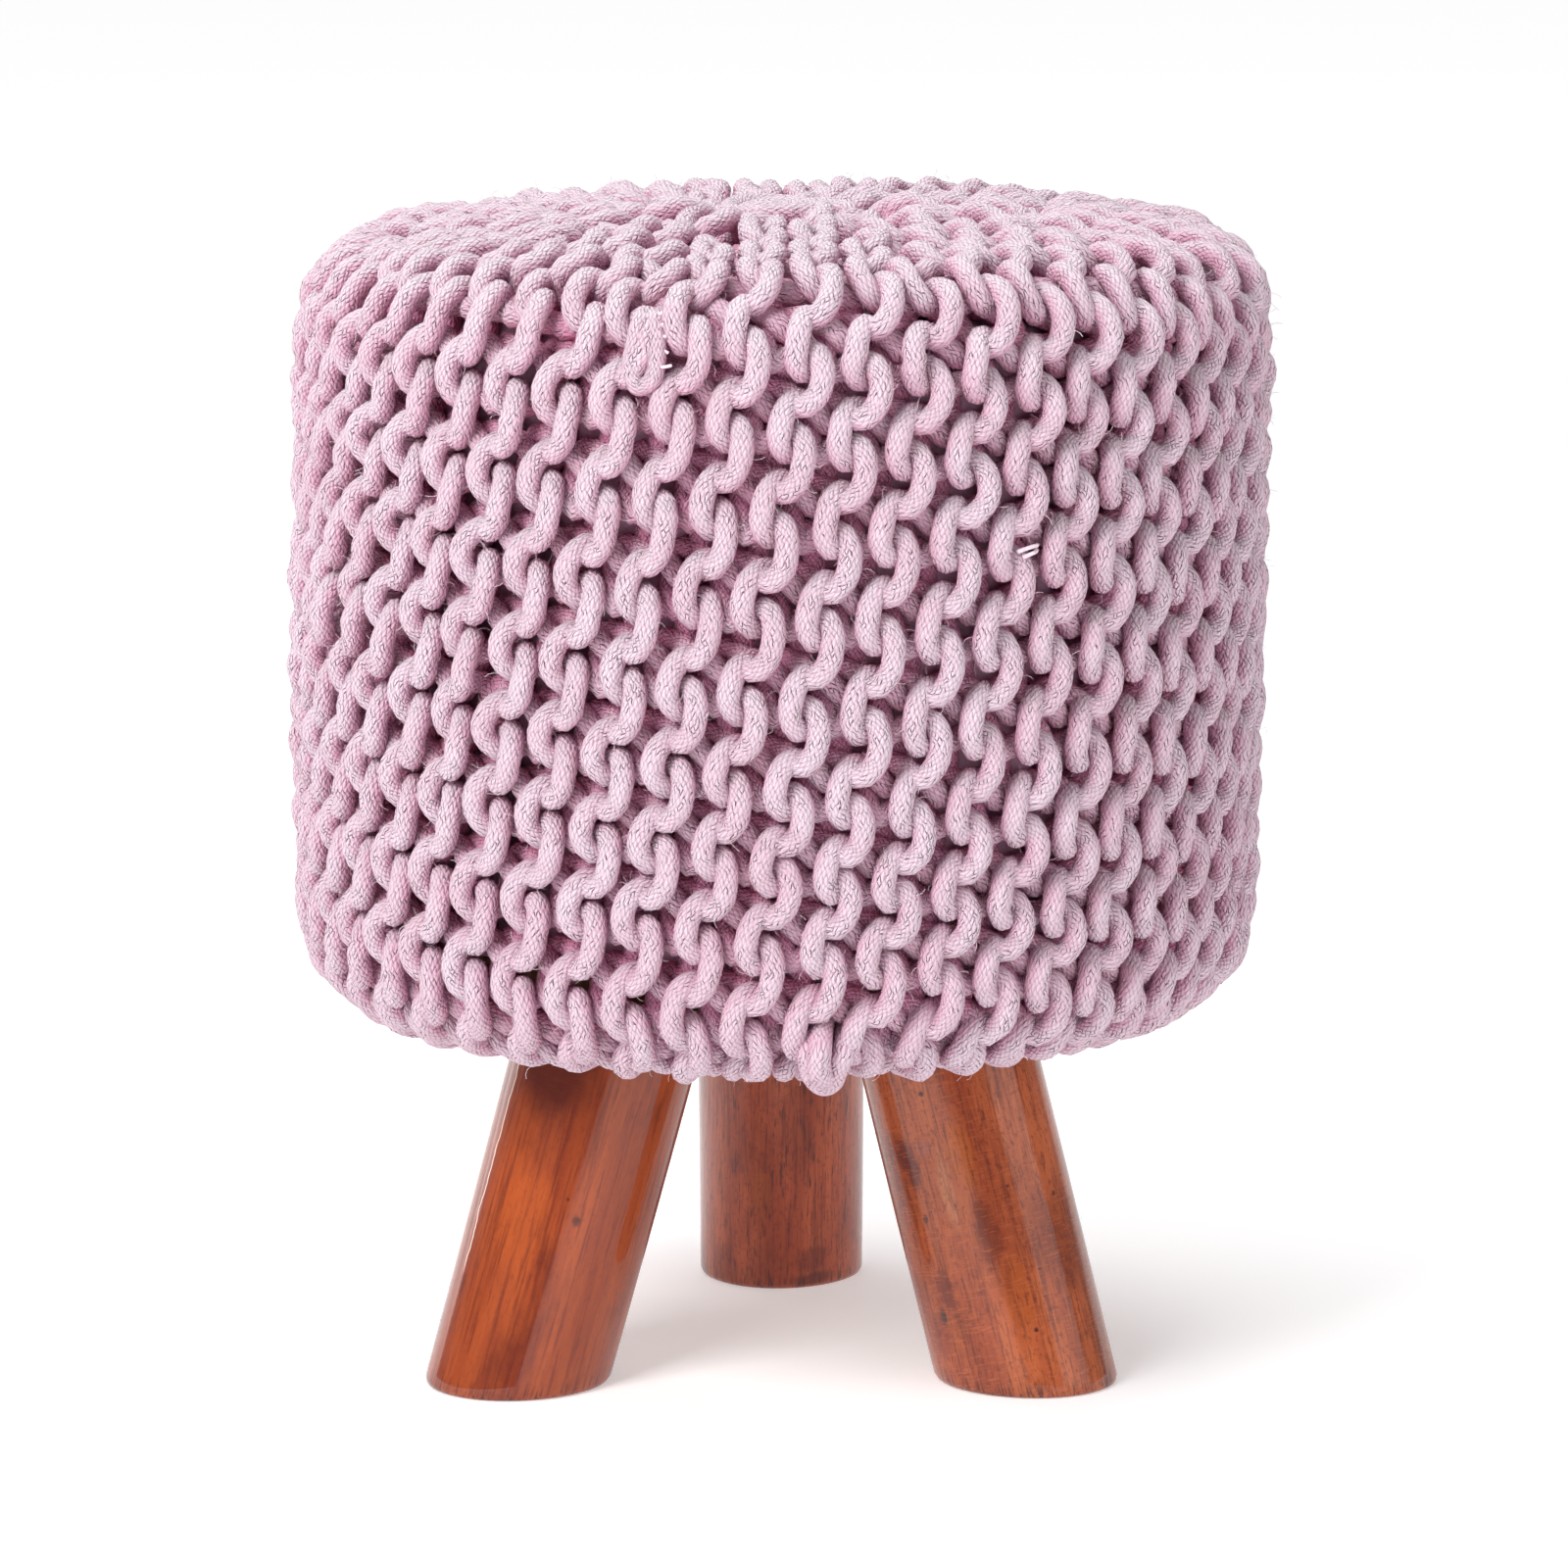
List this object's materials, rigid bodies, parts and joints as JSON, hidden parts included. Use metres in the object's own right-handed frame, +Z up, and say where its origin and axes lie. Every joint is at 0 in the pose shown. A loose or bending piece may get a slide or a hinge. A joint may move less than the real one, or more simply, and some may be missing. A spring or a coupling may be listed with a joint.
{
  "type": "knitted pouf on three wooden legs",
  "caption": "Round drum-shaped pouf with a ridged knitted cord cover over a filled pad, standing on splayed round wooden legs.",
  "frame": {"origin": "centre of the footprint, on the floor that the legs stand on", "axes": "+Z up, -Y the front, +X to the right of someone looking at the front"},
  "size_m": [0.3536, 0.3534, 0.4245],
  "materials": {
    "braided_cord": "dusty pink braided cotton cord, matt and slightly fuzzy",
    "casing_cloth": "plain woven pink casing cloth",
    "board_wood": "bare plywood",
    "leg_wood": "reddish-brown stained and varnished hardwood"
  },
  "bodies": {
    "root": {"knitted_cover": "braided_cord", "filled_pad": "casing_cloth", "base_board": "board_wood", "leg_front_left": "leg_wood", "leg_front_right": "leg_wood", "leg_back": "leg_wood"}
  },
  "joints": []
}
